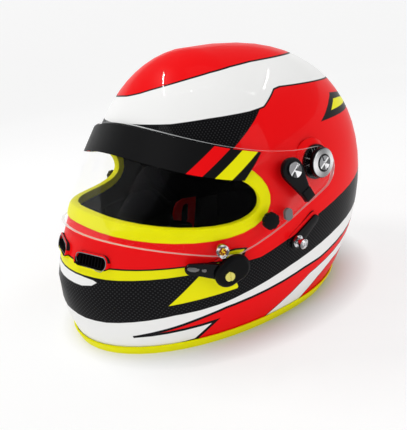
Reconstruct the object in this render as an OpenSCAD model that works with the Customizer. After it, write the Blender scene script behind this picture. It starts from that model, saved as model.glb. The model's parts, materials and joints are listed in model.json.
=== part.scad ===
// Full-face racing helmet, standing on its rim trim. Millimetres, +Z up, the face looks along -Y,
// and the wearer's left side is +X. The origin is on the table, under the middle of the helmet.
// Every curved piece is a layer of one body form: a point of a layer is given by its angle round
// the head, its height, and its depth below the shell's outer skin.

/* [Body form] */
// Reach of the chin bar ahead of the middle, where it is fullest
chin_reach = 165; // [158:1:172]
// Reach of the back of the shell behind the middle, where it is fullest
back_reach = 174; // [167:1:181]
// Half width of the shell at the temples
side_reach = 131; // [126:1:136]
// Height of the crown above the table
crown_z = 248; // [243:1:253]
// Height at which the chin bar is fullest
chin_z = 52; // [44:1:60]
// Height at which the back is fullest
back_z = 118; // [110:1:124]
// Height at which the sides are fullest
side_z = 120; // [114:1:126]
// Reach of the rim in front
rim_front = 156; // [150:1:160]
// Reach of the rim behind
rim_back = 118; // [112:1:124]
// Half width of the rim
rim_side = 104; // [100:1:108]
// How far the crown leans forward of the middle
crown_lean = 3; // [1:0.5:6]
// Fullness of the profile in front, 1 is a straight slope
front_fullness = 1.32; // [1.22:0.02:1.4]
// Fullness of the profile behind
back_fullness = 2.7; // [2.4:0.1:2.9]
// Fullness of the profile at the sides
side_fullness = 1.9; // [1.8:0.05:2.1]
// Roundness of the profile in front, at the very top
crown_round = 1.7; // [1.55:0.05:1.8]
// Squareness of the front half seen from above, 2 is an ellipse
front_square = 2.05; // [1.95:0.05:2.2]
// Squareness of the back half seen from above
back_square = 2.2; // [2:0.05:2.4]

/* [Shell and trim] */
// Thickness of the composite shell
shell_t = 3.5; // [3:0.1:4.2]
// Height of the shell's cut edge above the table
rim_z = 2.2; // [2:0.1:3]
// Height of the rim trim
trim_h = 8.2; // [7:0.1:10]
// How far the trim stands out of the shell
trim_lip = 2; // [1.6:0.1:2.6]
// Gap between pieces that are seated on each other
seat_gap = 0.3; // [0.2:0.05:0.4]

/* [Eyeport] */
// Half of the eyeport's span round the head, in degrees, out to the gasket's edge
port_span = 78; // [74:1:80]
// Height of the middle of the eyeport in front
port_z = 142.5; // [139:0.5:146]
// How far the eyeport's middle falls from the front to its ends
port_fall = 20.5; // [18:0.5:23]
// Half of the height of the eyeport, out to the gasket's edge
port_half = 33.5; // [31:0.5:35]
// Width of the gasket round the eyeport
gasket_w = 11; // [9:0.5:12]
// How far the gasket overlaps the shell outside
gasket_lap = 4; // [3:0.5:5]
// Height of the gasket's crown above the shell
gasket_crown = 2.1; // [1.6:0.1:2.2]

/* [Visor] */
// Clear gap between the shell and the visor
visor_gap = 3; // [2.8:0.1:3.4]
// Thickness of the visor
visor_t = 2.6; // [2:0.1:3]
// Height of the visor's top edge above the pivots in front
visor_rise = 37; // [34:0.5:38]
// Height of the visor's top edge at the temples
visor_top_z = 154; // [152.5:0.5:155]
// Height of the visor's lower edge in front
visor_low_z = 105; // [102:0.5:107]
// Height of the visor's lower corner by the latch
visor_corner_z = 82; // [81.5:0.5:84]
// Angle round the head of that corner
visor_corner_t = 66; // [64:0.5:68]
// Radius of the visor's ear round the pivot
ear_r = 20; // [19:0.5:21]
// Height of the sun strip's lower edge in front
strip_low_z = 167; // [162:1:170]
// Thickness of the sun strip
strip_t = 0.5; // [0.3:0.1:0.8]

/* [Pivot] */
// Place of the visor pivot, behind the middle
pivot_y = 21; // [18:0.5:24]
// Height of the visor pivot
pivot_z = 140; // [138:0.5:142]
// How far the moulded pad under the pivot stands out of the shell
pivot_pad_h = 2; // [2:0.1:2.4]
// Thickness of the washer between the pad and the visor
washer_t = 2.7; // [2.7:0.1:3.2]
// Radius of the washer
washer_r = 15; // [13:0.5:16]
// Radius of the turned cap
cap_r = 13; // [11:0.5:14]
// Thickness of the turned cap
cap_t = 5; // [4:0.5:7]
// Radius of the pivot screw's shank
pivot_r = 4; // [3:0.1:4.5]
// Running clearance round a shank
run_gap = 0.08; // [0.04:0.01:0.1]

/* [Visor hardware] */
// Place of the tension lever's screw ahead of the middle
lever_s = 13; // [10:0.5:16]
// Height of the tension lever's screw
lever_z = 140.5; // [138:0.5:143]
// Radius of the tension lever's head
lever_r = 10.5; // [9:0.5:11.5]
// Distance from the lever's screw to its thumb end
lever_l = 27; // [22:0.5:29]
// Thickness of the tension lever
lever_t = 4.5; // [3.5:0.5:6]
// Place of the tear-off post ahead of the middle
post_s = 40; // [38:0.5:42]
// Height of the tear-off post on the visor
post_z = 108; // [106:0.5:110]
// Radius of the tear-off post's fluted head
post_r = 7; // [6:0.5:7.5]
// Height of the tear-off post
post_h = 7; // [5:0.5:9]
// Place of the oval stud ahead of the middle
stud_s = 22; // [20:0.5:24]
// Height of the oval stud on the visor
stud_z = 107.5; // [106:0.5:109]
// Width of the oval stud
stud_w = 7.4; // [6:0.2:8]
// Length of the oval stud
stud_l = 10.6; // [9:0.2:11]
// Place of the catch stud ahead of the middle
catch_s = 78; // [77:0.5:80]
// Height of the catch stud on the visor
catch_z = 92; // [91.5:0.5:94]
// Radius of the catch stud's ring
catch_r = 5.2; // [4.5:0.1:5.4]

/* [Latch] */
// Place of the latch screw ahead of the middle
latch_s = 76; // [75:0.5:78]
// Height of the latch screw
latch_z = 71.5; // [70:0.5:72]
// Length of the latch arm from its screw to its tip
latch_l = 36; // [32:0.5:37]
// Thickness of the latch arm
latch_t = 3.1; // [2.6:0.1:3.1]
// Thickness of the cover over the latch
cover_t = 5; // [4:0.5:6]
// Radius of the latch screw's shank
latch_r = 2.5; // [2:0.1:3]

/* [Head restraint anchors] */
// Place of the anchor ahead of the middle
anchor_s = 9; // [6:0.5:12]
// Height of the anchor
anchor_z = 78; // [75:0.5:80]
// Radius of the anchor post's round head
anchor_head_r = 4.5; // [4:0.1:6]
// Radius of the anchor post's neck
anchor_neck_r = 3; // [2.5:0.1:3.2]
// How far the anchor post stands out
anchor_h = 9; // [8:0.5:12]

/* [Chin intakes] */
// Angle of an intake from the front, in degrees
vent_t = 13.5; // [12:0.5:15]
// Height of the intakes
vent_z = 85; // [83:0.5:87]
// Length of an intake slot
vent_l = 41; // [36:1:42]
// Height of an intake slot
vent_h = 11.4; // [9:0.2:12]
// Thickness of the grille in an intake
grille_t = 2; // [1.4:0.2:2.4]
// Width of each gap in the grille
grille_gap = 2.6; // [2:0.2:3]

/* [Padding] */
// Thickness of the impact liner over the crown and sides
liner_t = 35; // [32:1:38]
// Thickness of the liner in the chin bar
chin_liner_t = 19; // [16:1:22]
// Thickness of the comfort pad in the crown
crown_pad_t = 8; // [6:1:10]
// Thickness of a cheek pad at its crown
cheek_pad_t = 38; // [30:1:42]
// Thickness of the neck roll at its crown
neck_roll_t = 20; // [16:1:24]

/* [Chin strap] */
// Width of the webbing
strap_w = 22; // [20:1:24]
// Thickness of the webbing
strap_t = 1.6; // [1.2:0.1:1.8]
// Radius of the wire of the two D-rings
wire_r = 1.6; // [1.4:0.1:2]
// Radius of a D-ring's bow, to the middle of the wire
bow_r = 14; // [13.5:0.5:16]

/* [Hidden] */
$fn = 64;

// The body form

// The middle lies ahead of the origin, so that the whole helmet is centred on the origin
middle_s = (chin_reach - back_reach) / -2;

// Smooth step from 1 to 0 as a value goes from one limit to the other
function fade(value, from, to) =
    let (f = max(0, min(1, (value - from) / (to - from)))) 1 - f * f * (3 - 2 * f);

// Half extent of a level section: above its fullest height a shoulder that turns into a round
// crown over its upper half, and a tuck-in below
function half_extent(z, reach, full_z, top, fullness, round, rim) =
    let (f = min(1, (z - full_z) / (top - full_z)), w = fade(f, 1, 0.5))
    z >= full_z
        ? reach * pow(max(0, 1 - pow(f, fullness)), 1 / fullness + (1 / round - 1 / fullness) * w)
        : reach * sqrt(1 - (1 - pow(rim / reach, 2)) * pow((full_z - z) / full_z, 2));

function front_at(z, d) =
    half_extent(z, chin_reach - d, chin_z, crown_z - d, front_fullness, crown_round, rim_front - d);
function back_at(z, d) =
    half_extent(z, back_reach - d, back_z, crown_z - d, back_fullness, back_fullness, rim_back - d);
function side_at(z, d) =
    half_extent(z, side_reach - d, side_z, crown_z - d, side_fullness, side_fullness, rim_side - d);
function middle_at(z) = middle_s + crown_lean * pow(max(0, min(1, (z - back_z) / (crown_z - back_z))), 1.5);

// Point of the layer d below the outer skin, at angle t from the front and height z
function skin(t, z, d) =
    let (m = cos(t) > 0 ? front_square : back_square,
         r = pow(pow(abs(cos(t)), m) + pow(abs(sin(t)), m), -1 / m),
         reach = cos(t) > 0 ? front_at(z, d) : back_at(z, d))
    [sign(sin(t)) * abs(sin(t)) * r * side_at(z, d), -middle_at(z) - cos(t) * r * reach, z];

// Half width of a layer at a place s ahead of the origin and a height
function side_x(s, z, d) =
    let (e = s - middle_at(z),
         m = e > 0 ? front_square : back_square,
         reach = e > 0 ? front_at(z, d) : back_at(z, d))
    side_at(z, d) * pow(max(0, 1 - pow(abs(e) / reach, m)), 1 / m);

// Angle round the head of a place s ahead of the origin, on the left side
function angle_of(s, z) =
    let (e = s - middle_at(z))
    atan2(side_x(s, z, 0) / side_at(z, 0), e / (e > 0 ? front_at(z, 0) : back_at(z, 0)));

function unit(v) = v / norm(v);
function normal_at(t, z) =
    unit(cross(skin(t + 0.2, z, 0) - skin(t - 0.2, z, 0), skin(t, z + 0.5, 0) - skin(t, z - 0.5, 0)));

// Frame on the skin: Z along the outward normal, X level and rearwards on the left side, Y up
module at_skin(t, z, lift = 0) {
    n = normal_at(t, z);
    translate(skin(t, z, 0))
        rotate([0, acos(n[2]), atan2(n[1], n[0])])
            rotate([0, 0, 90])
                translate([0, 0, lift])
                    children();
}

module at_place(s, z, lift = 0) {
    at_skin(angle_of(s, z), z, lift) children();
}

// The right side is the left one mirrored
module on_side(right) {
    mirror([right ? 1 : 0, 0, 0]) children();
}

// Solids from grids of points

// Closed solid between an outer and an inner grid of points. Rows rise and columns run to the
// left side as seen from outside. wrap joins the last column to the first, and closed fills the
// last row to a point. The grids have the same columns and, without wrap, the same rows.
module slab(outer, inner, wrap = false, closed = false) {
    cols = len(outer[0]);
    top = len(outer) - 1;
    top_in = len(inner) - 1;
    half = len(outer) * cols;
    all = half + len(inner) * cols;
    across = wrap ? cols - 1 : cols - 2;
    function o(i, j) = i * cols + j % cols;
    function n(i, j) = half + i * cols + j % cols;
    tips = closed ? [mean(outer[top]), mean(inner[top_in])] : [];
    polyhedron(
        points = concat([for (r = outer) each r], [for (r = inner) each r], tips),
        faces = concat(
            [for (i = [0:top - 1], j = [0:across]) each
                [[o(i, j), o(i + 1, j), o(i + 1, j + 1)], [o(i, j), o(i + 1, j + 1), o(i, j + 1)]]],
            [for (i = [0:top_in - 1], j = [0:across]) each
                [[n(i, j), n(i, j + 1), n(i + 1, j + 1)], [n(i, j), n(i + 1, j + 1), n(i + 1, j)]]],
            [for (j = [0:across]) each
                [[o(0, j), o(0, j + 1), n(0, j + 1)], [o(0, j), n(0, j + 1), n(0, j)]]],
            [for (j = [0:across]) each closed
                ? [[o(top, j + 1), o(top, j), all], [n(top_in, j), n(top_in, j + 1), all + 1]]
                : [[o(top, j + 1), o(top, j), n(top_in, j)],
                    [o(top, j + 1), n(top_in, j), n(top_in, j + 1)]]],
            wrap ? [] : [for (i = [0:top - 1]) each
                [[o(i + 1, 0), o(i, 0), n(i, 0)], [o(i + 1, 0), n(i, 0), n(i + 1, 0)],
                [o(i, cols - 1), o(i + 1, cols - 1), n(i + 1, cols - 1)],
                [o(i, cols - 1), n(i + 1, cols - 1), n(i, cols - 1)]]]));
}

function mean(points) = [for (k = [0:2]) [for (p = points) p[k]] * [for (p = points) 1] / len(points)];

// Solid swept through sections of points; loop joins the last section to the first
module sweep(sections, loop = false) {
    count = len(sections);
    sides = len(sections[0]);
    function at(i, j) = (i % count) * sides + j % sides;
    polyhedron(
        points = [for (s = sections) each s],
        faces = concat(
            [for (i = [0:count - (loop ? 1 : 2)], j = [0:sides - 1]) each [
                [at(i, j), at(i + 1, j), at(i + 1, j + 1)], [at(i, j), at(i + 1, j + 1), at(i, j + 1)]]],
            loop ? [] : [[for (j = [0:sides - 1]) j], [for (j = [sides - 1:-1:0]) at(count - 1, j)]]));
}

// Rows of a dome from an edge that may rise and fall round the head up to near its top
function dome(edge, d, rows, cols) = [for (i = [0:rows])
    let (v = 1 - pow(1 - 0.97 * i / rows, 1.7))
    [for (j = [0:cols - 1])
        let (t = 360 * j / cols, low = edge(t))
        skin(t, low + (crown_z - d - low) * v, d)]];

// Rows of a patch between two edges, over a span of angles; bunch crowds the columns at its ends
function patch(from, to, low, high, d, rows, cols) = [for (i = [0:rows])
    [for (j = [0:cols])
        let (t = from + (to - from) * j / cols)
        skin(t, low(t) + (high(t) - low(t)) * i / rows, d)]];

// The eyeport's outline: station a runs clockwise from the right end, over the top, in degrees
skin_mm = 2.4; // millimetres of skin to a degree round the head
port_square = 7;
function port_mid(t) = port_z - port_fall * pow(abs(t) / port_span, 1.5);
function port_edge(a) =
    let (f = a <= 180 ? sin(a - 90) : sin(270 - a),
         t = port_span * f,
         h = port_half * sqrt(1 - pow(abs(f), port_square)))
    [t, port_mid(t) + (a <= 180 ? h : -h)];
function port_line(a, out) =
    let (e = port_edge(a),
         g = port_edge((a + 1) % 360) - port_edge((a + 359) % 360),
         n = unit([-g[1], g[0] * skin_mm]))
    [e[0] + out * n[0] / skin_mm, e[1] + out * n[1]];

// A plug through the shell with the eyeport's outline
module port_plug(out) {
    stations = 60;
    reach = 10;
    function ring(f, d) = [for (j = [0:stations - 1])
        let (e = port_line(360 - 360 * (j + 0.5) / stations, out))
        skin(e[0] * f, port_z + (e[1] - port_z) * f, d)];
    shares = [1, 0.8, 0.6, 0.4, 0.2];
    slab([for (f = shares) ring(f, -reach)], [for (f = shares) ring(f, shell_t + reach)],
        wrap = true, closed = true);
}

// A flat outline with round ends, along X
module pill(length, width) {
    square([length - width, width], center = true);
    for (side = [-1, 1])
        translate([side * (length - width) / 2, 0]) circle(d = width);
}

// Shell

shell_cols = 64;
pad_fn = 28;
pivot_seat_x = side_x(-pivot_y, pivot_z, 0) + pivot_pad_h;

module pivot_pad() {
    translate([pivot_seat_x, pivot_y, pivot_z]) rotate([0, -90, 0]) hull() {
        cylinder(r = washer_r + 1, h = 1, $fn = pad_fn);
        translate([0, 0, 4]) cylinder(r = washer_r + 5, h = 1, $fn = pad_fn);
    }
}

// A low moulded pad between two places of a hardware piece, with sloping sides
pad_sink = 3;
module seat_pad(ends, top) {
    hull() for (e = ends) translate([e[0], e[1], -pad_sink]) {
        cylinder(r = e[2] + 2, h = pad_sink, $fn = pad_fn);
        cylinder(r = e[2], h = pad_sink + top, $fn = pad_fn);
    }
}

module vent_slot(grow, from, to) {
    for (right = [false, true]) on_side(right) at_skin(vent_t, vent_z, from) hull()
        for (side = [-1, 1])
            translate([side * (vent_l - vent_h) / 2, 0, 0])
                cylinder(r = vent_h / 2 + grow, h = to - from, $fn = pad_fn);
}

vent_lip = 1.2;
bolt_r = 3;
module outer_shell() {
    color("crimson") difference() {
        union() {
            slab(dome(function(t) rim_z, 0, 21, shell_cols),
                dome(function(t) rim_z, shell_t, 15, shell_cols), wrap = true, closed = true);
            for (right = [false, true]) on_side(right) {
                pivot_pad();
                at_place(anchor_s, anchor_z) seat_pad(anchor_ends, anchor_pad_h);
            }
            at_place(latch_s, latch_z) seat_pad(latch_ends, latch_pad_h);
            vent_slot(1.6, -shell_t + 0.5, vent_lip);
        }
        port_plug(-gasket_lap);
        vent_slot(0, -2 * shell_t, 2 * shell_t);
        for (right = [false, true]) on_side(right) {
            translate([0, pivot_y, pivot_z]) rotate([0, 90, 0]) cylinder(r = pivot_r + seat_gap, h = 2 * side_reach);
            at_place(anchor_s, anchor_z, -3 * shell_t) cylinder(r = anchor_neck_r + seat_gap, h = 6 * shell_t);
        }
        at_place(latch_s, latch_z, -3 * shell_t) cylinder(r = latch_r + seat_gap, h = 6 * shell_t);
    }
}

// Rubber gasket round the eyeport: a crowned face outside, and a groove that holds the shell's edge
groove_gap = 0.8; // room in a rubber groove round the shell's edge, whose inside is moulded less exactly
gasket_foot = shell_t + 2.5;
gasket_section = [
    [0, seat_gap], [-1, gasket_crown - 0.7], [-gasket_lap, gasket_crown], [-gasket_w + 3, gasket_crown],
    [-gasket_w + 0.5, gasket_crown - 1], [-gasket_w, -1], [-gasket_w + 1, -gasket_foot],
    [-1.5, -gasket_foot], [-1.5, -shell_t - groove_gap], [-gasket_lap - groove_gap, -shell_t - groove_gap],
    [-gasket_lap - groove_gap, seat_gap]
];
module eyeport_gasket() {
    stations = 56;
    color("yellow") sweep([for (i = [0:stations - 1])
        [for (p = gasket_section)
            let (e = port_line(360 * (i + 0.5) / stations, p[0])) skin(e[0], e[1], -p[1])]],
        loop = true);
}

// Rubber trim round the rim, flat underneath
trim_section = [
    [trim_lip - 0.4, 0], [trim_lip, trim_h - 0.8], [trim_lip - 0.8, trim_h], [seat_gap, trim_h],
    [seat_gap, rim_z - seat_gap], [-shell_t - groove_gap, rim_z - seat_gap],
    [-shell_t - groove_gap, 0.7 * trim_h],
    [-shell_t - trim_lip, 0.65 * trim_h], [-shell_t - trim_lip + 0.4, 0]
];
module rim_trim() {
    color("yellow") sweep([for (j = [0:shell_cols - 1])
        [for (p = trim_section) skin(360 * j / shell_cols, p[1], -p[0])]], loop = true);
}

// Padding

// Angle brought into the range from -180 to 180
function turned(t) = t > 180 ? t - 360 : t;

liner_d = shell_t + 1.6;
liner_low_z = 64;
brow_gap = 8;
// The padding's edge clears the eyeport's top and drops behind its ends
function brow_z(t) = port_mid(min(port_span, abs(t))) + port_half + brow_gap;
function liner_edge(t) =
    let (a = abs(turned(t)), w = fade(a, port_span - 2, port_span + 22))
    liner_low_z + (brow_z(a) - liner_low_z) * w;

module impact_liner() {
    cols = 44;
    color("dimgray") slab(dome(function(t) liner_edge(t), liner_d, 11, cols),
        dome(function(t) liner_edge(t), liner_d + liner_t, 11, cols), wrap = true, closed = true);
}

// Comfort pad inside the crown, a thin layer with the same edge drawn in
pad_gap = 1.5;
pad_rise = 30;
module crown_pad() {
    cols = 36;
    outside_d = liner_d + liner_t + pad_gap;
    function edge(t) = liner_edge(t) + 3 + pad_rise * fade(liner_edge(t), liner_low_z, liner_low_z + 60);
    color("black") slab(dome(function(t) edge(t), outside_d, 8, cols),
        dome(function(t) edge(t), outside_d + crown_pad_t, 7, cols), wrap = true, closed = true);
}

chin_liner_span = 56;
chin_liner_low_z = 12;
chin_liner_top_z = 75;
module chin_liner() {
    function grid(d) = patch(-chin_liner_span, chin_liner_span,
        function(t) chin_liner_low_z, function(t) chin_liner_top_z, d, 3, 18);
    color("dimgray") slab(grid(liner_d), grid(liner_d + chin_liner_t));
}

// A cushion on the wall: its inner face swells to its crown between drawn-in edges
edge_share = 0.45;
module wall_cushion(from, to, low, high, back_d, thick, rows, cols) {
    function point(u, v, d) =
        let (t = from + (to - from) * u) skin(t, low(t) + (high(t) - low(t)) * v, d);
    function swell(u, v) =
        back_d + thick * (edge_share + (1 - edge_share) * pow(sin(180 * u) * sin(180 * v), 0.5));
    slab([for (i = [0:rows]) [for (j = [0:cols]) point(j / cols, i / rows, back_d)]],
        [for (i = [0:rows]) [for (j = [0:cols]) point(j / cols, i / rows, swell(j / cols, i / rows))]]);
}

strap_room = 4.8;
cheek_from = 60;
cheek_to = 114;
cheek_low_z = 20;
cheek_top_z = 88;
module cheek_pad(right) {
    color("black") on_side(right) wall_cushion(cheek_from, cheek_to, function(t) cheek_low_z,
        function(t) min(cheek_top_z, liner_edge(t) - 4), shell_t + strap_room, cheek_pad_t, 6, 9);
}
module cheek_pad_left() cheek_pad(false);
module cheek_pad_right() cheek_pad(true);

neck_from = 122;
neck_low_z = 10;
neck_top_z = 58;
module neck_roll() {
    color("black") wall_cushion(neck_from, 360 - neck_from, function(t) neck_low_z,
        function(t) neck_top_z, liner_d, neck_roll_t, 5, 16);
}

// Visor

ear_t = 97.5; // angle of the ear's middle round the head
ear_z = visor_top_z - ear_r;
ear_mm = 3; // millimetres of visor to a degree, near the ears
ear_slope = 18; // degrees, the lower edge's rise towards the ear
visor_end_t = ear_t + ear_r / ear_mm;
ear_turn_t = ear_t + ear_r * sin(ear_slope) / ear_mm;
corner_soft = 4;

function ear_half(a) = sqrt(max(0, ear_r * ear_r - pow(ear_mm * (a - ear_t), 2)));
function visor_top(t) =
    let (a = abs(t))
    a < ear_t ? visor_top_z + visor_rise * pow(max(0, cos(0.9 * a)), 1.6) : ear_z + ear_half(a);
function visor_bottom(t) =
    let (a = abs(t),
         front = visor_low_z - (visor_low_z - visor_corner_z) * pow(a / visor_corner_t, 2.2),
         turn_z = ear_z - ear_r * cos(ear_slope),
         back = turn_z - (ear_turn_t - a) * ear_mm * tan(ear_slope))
    a < ear_turn_t
        ? (front + back + sqrt(pow(front - back, 2) + corner_soft * corner_soft)) / 2
        : ear_z - ear_half(a);

// Inside of the visor's ear, and the place of a layer there: flat round the pivot
ear_x = pivot_seat_x + washer_t + seat_gap + 0.1;
ear_flat_r = washer_r + 4;
ear_blend_r = 38;
visor_out = visor_gap + visor_t;
function visor_point(t, z, out) =
    let (p = skin(t, z, -out),
         away = norm([p[1] - pivot_y, p[2] - pivot_z]),
         need = max(0, ear_x + out - visor_gap - abs(p[0])))
    [sign(p[0]) * (abs(p[0]) + need * fade(away, ear_flat_r, ear_blend_r)), p[1], p[2]];

visor_cols = 44;
visor_rows = 6;
function visor_grid(out) = [for (i = [0:visor_rows])
    [for (j = [0:visor_cols])
        let (t = visor_end_t * sin(88 * (2 * j / visor_cols - 1)), low = visor_bottom(t))
        visor_point(t, low + (visor_top(t) - low) * i / visor_rows, out)]];

module visor() {
    color("lightcyan", 0.4) difference() {
        slab(visor_grid(visor_out), visor_grid(visor_gap));
        for (side = [-1, 1]) translate([side * ear_x, pivot_y, pivot_z]) rotate([0, 90, 0])
            cylinder(r = pivot_r + run_gap, h = 4 * visor_t, center = true);
    }
}

// Opaque strip on the visor's top edge, with slanting ends
strip_end_t = 75;
strip_short_t = 67;
strip_glue = 0.25;
strip_border = 1;
function strip_bottom(t) = 139 + (strip_low_z - 139) * pow(max(0, cos(1.15 * t)), 1.4);
module sun_strip() {
    cols = 38;
    rows = 3;
    function grid(out) = [for (i = [0:rows])
        [for (j = [0:cols])
            let (t = (2 * j / cols - 1) * (strip_short_t + (strip_end_t - strip_short_t) * i / rows),
                 low = strip_bottom(t))
            visor_point(t, low + (visor_top(t) - strip_border - low) * i / rows, out)]];
    color("black") slab(grid(visor_out + strip_glue + strip_t), grid(visor_out + strip_glue));
}

// Pivots

cap_x = ear_x + visor_t + seat_gap;
dish_r = 6.2;
dish_depth = 1.4;
slot_w = 1.6;
module on_pivot(right, x) {
    on_side(right) translate([x, pivot_y, pivot_z]) rotate([0, 90, 0]) children();
}

module pivot_washer(right) {
    color("black") on_pivot(right, pivot_seat_x + 0.1) difference() {
        cylinder(r = washer_r, h = washer_t);
        translate([0, 0, -1]) cylinder(r = pivot_r + run_gap, h = washer_t + 2);
    }
}
module pivot_washer_left() pivot_washer(false);
module pivot_washer_right() pivot_washer(true);

// Turned cap: bevelled rim, a raised ring and a dish that seats the screw's head
module pivot_cap(right) {
    bevel = 1;
    color("silver") on_pivot(right, cap_x) rotate_extrude() polygon([
        [pivot_r + run_gap, 0], [cap_r, 0], [cap_r, cap_t - 1.6 * bevel], [cap_r - bevel, cap_t - 0.6 * bevel],
        [cap_r - 3 * bevel, cap_t], [dish_r + 1.4, cap_t], [dish_r + 0.4, cap_t - dish_depth],
        [pivot_r + run_gap, cap_t - dish_depth]]);
}
module pivot_cap_left() pivot_cap(false);
module pivot_cap_right() pivot_cap(true);

// A slotted screw standing on z = 0 under its head
module slotted_screw(head_r, head_h, shank_r, shank_l, slot_turn = 0) {
    difference() {
        union() {
            cylinder(r = head_r, h = head_h);
            translate([0, 0, -shank_l]) cylinder(r = shank_r, h = shank_l);
        }
        rotate([0, 0, slot_turn]) translate([0, 0, head_h]) cube([3 * head_r, slot_w, head_h], center = true);
    }
}

module pivot_screw(right) {
    reach = cap_x + cap_t - dish_depth - pivot_seat_x + pivot_pad_h + shell_t + seat_gap;
    color("silver") on_pivot(right, cap_x + cap_t - dish_depth + 0.05)
        slotted_screw(dish_r, 1.8, pivot_r, reach, 20);
}
module pivot_screw_left() pivot_screw(false);
module pivot_screw_right() pivot_screw(true);

// Hardware on the visor, each seated on the outside of the visor

visor_seat = visor_out + seat_gap;
lever_swell = 1.3; // the visor swells towards its ear there
lever_seat = visor_seat + lever_swell;
lever_tail_r = 5;
lever_lean = 22; // degrees that the lever's tail hangs behind straight down
lever_shank_r = 2.2;

module tension_lever(right) {
    tail = lever_l - lever_tail_r;
    color("black") on_side(right) at_place(lever_s, lever_z, lever_seat) rotate([0, 0, -90 + lever_lean])
        difference() {
            union() {
                hull() {
                    cylinder(r = lever_r, h = lever_t - 1, $fn = 32);
                    cylinder(r = lever_r - 1, h = lever_t, $fn = 32);
                    translate([tail, 0, 0]) cylinder(r = lever_tail_r, h = lever_t - 1.5, $fn = 32);
                }
                translate([tail - 2, -lever_tail_r + 0.4, 0])
                    cube([lever_tail_r + 4, 2 * lever_tail_r - 0.8, lever_t + 0.6]);
            }
            translate([0, 0, -1]) cylinder(r = lever_shank_r + run_gap, h = lever_t + 2);
        }
}
module tension_lever_left() tension_lever(false);
module tension_lever_right() tension_lever(true);

module lever_screw(right) {
    color("silver") on_side(right) at_place(lever_s, lever_z, lever_seat + lever_t + 0.1)
        slotted_screw(6.4, 1.8, lever_shank_r, lever_t + lever_swell - 0.1, 45);
}
module lever_screw_left() lever_screw(false);
module lever_screw_right() lever_screw(true);

flutes = 8;
flute_r = 1.5;
module tear_off_post(right) {
    color("black") on_side(right) at_place(post_s, post_z, visor_seat) difference() {
        union() {
            cylinder(r = 0.6 * post_r, h = post_h - 1);
            translate([0, 0, post_h - 4]) cylinder(r = post_r, h = 4);
        }
        for (k = [0:flutes - 1]) rotate([0, 0, 360 * k / flutes])
            translate([post_r + 0.6 * flute_r, 0, post_h - 5]) cylinder(r = flute_r, h = 6);
    }
}
module tear_off_post_left() tear_off_post(false);
module tear_off_post_right() tear_off_post(true);

module visor_stud(right) {
    color("gray") on_side(right) at_place(stud_s, stud_z, visor_seat) rotate([0, 0, 90])
        linear_extrude(3) pill(stud_l, stud_w);
}
module visor_stud_left() visor_stud(false);
module visor_stud_right() visor_stud(true);

// Round stud that the latch arm holds down, with a plain inset disc and a small foot
module catch_stud() {
    wall = 1.1;
    color("silver") at_place(catch_s, catch_z, visor_seat) {
        difference() {
            cylinder(r = catch_r, h = 4);
            translate([0, 0, 3.2]) cylinder(r = catch_r - wall, h = 2);
        }
        translate([-2, -catch_r - 1.2, 0]) cube([4, 3, 2.4]);
    }
}

// Latch: a base on the moulded pad, an arm that turns on its screw, and a cover over both

latch_pad_h = 0.9;
base_t = 1.5;
base_lift = latch_pad_h + seat_gap;
arm_lift = base_lift + base_t + seat_gap;
cover_lift = arm_lift + latch_t + seat_gap;
latch_rise = 22; // degrees that the arm points up ahead of its screw
latch_ends = [[0, 0, 11], [9, 2, 9]];
hub_r = 8.5;

module latch_base() {
    color("black") at_place(latch_s, latch_z, base_lift) difference() {
        hull() for (e = latch_ends) translate([e[0], e[1], 0]) cylinder(r = e[2] - 1, h = base_t, $fn = 32);
        translate([0, 0, -1]) cylinder(r = latch_r + run_gap, h = base_t + 2);
    }
}

module latch_lever() {
    tip_r = 4.5;
    waist_r = 5.5;
    color("black") at_place(latch_s, latch_z, arm_lift) rotate([0, 0, 180 - latch_rise]) difference() {
        union() {
            cylinder(r = hub_r, h = latch_t);
            hull() {
                cylinder(r = hub_r - 1.5, h = latch_t, $fn = 32);
                translate([0.55 * latch_l, 0, 0]) cylinder(r = waist_r, h = latch_t, $fn = 32);
            }
            hull() {
                translate([0.55 * latch_l, 0, 0]) cylinder(r = waist_r, h = latch_t, $fn = 32);
                translate([latch_l - tip_r, 1, 0.4]) cylinder(r = tip_r, h = latch_t - 0.8, $fn = 32);
            }
        }
        translate([0, 0, -1]) cylinder(r = latch_r + run_gap, h = latch_t + 2);
    }
}

cover_ends = [[-1, 0, 10.5], [7, 4.5, 11.5]];
module latch_cover() {
    color("black") at_place(latch_s, latch_z, cover_lift) difference() {
        hull() for (e = cover_ends) translate([e[0], e[1], 0]) {
            cylinder(r = e[2], h = 0.5 * cover_t, $fn = 32);
            cylinder(r = e[2] - 2.5, h = cover_t, $fn = 32);
        }
        translate([0, 0, -1]) cylinder(r = latch_r + run_gap, h = cover_t + 2);
        translate([0, 0, cover_t - 1]) cylinder(r = latch_head_r + 0.2, h = 3);
    }
}

latch_head_r = 4;
module latch_screw() {
    color("khaki") at_place(latch_s, latch_z, cover_lift + cover_t - 0.95)
        slotted_screw(latch_head_r, 1.6, latch_r, cover_lift + cover_t + shell_t, 90);
}

// Head restraint anchors: a mushroom post through a long plate

anchor_pad_h = 0.8;
anchor_ends = [[0, -1.5, 7], [22, 13, 4.5]];
plate_t = 1.8;
module anchor_plate(right) {
    color("black") on_side(right) at_place(anchor_s, anchor_z, anchor_pad_h + seat_gap) difference() {
        hull() for (e = anchor_ends) translate([e[0], e[1], 0]) cylinder(r = e[2] - 0.5, h = plate_t, $fn = 32);
        translate([0, 0, -1]) cylinder(r = anchor_neck_r + run_gap, h = plate_t + 2);
    }
}
module anchor_plate_left() anchor_plate(false);
module anchor_plate_right() anchor_plate(true);

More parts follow.
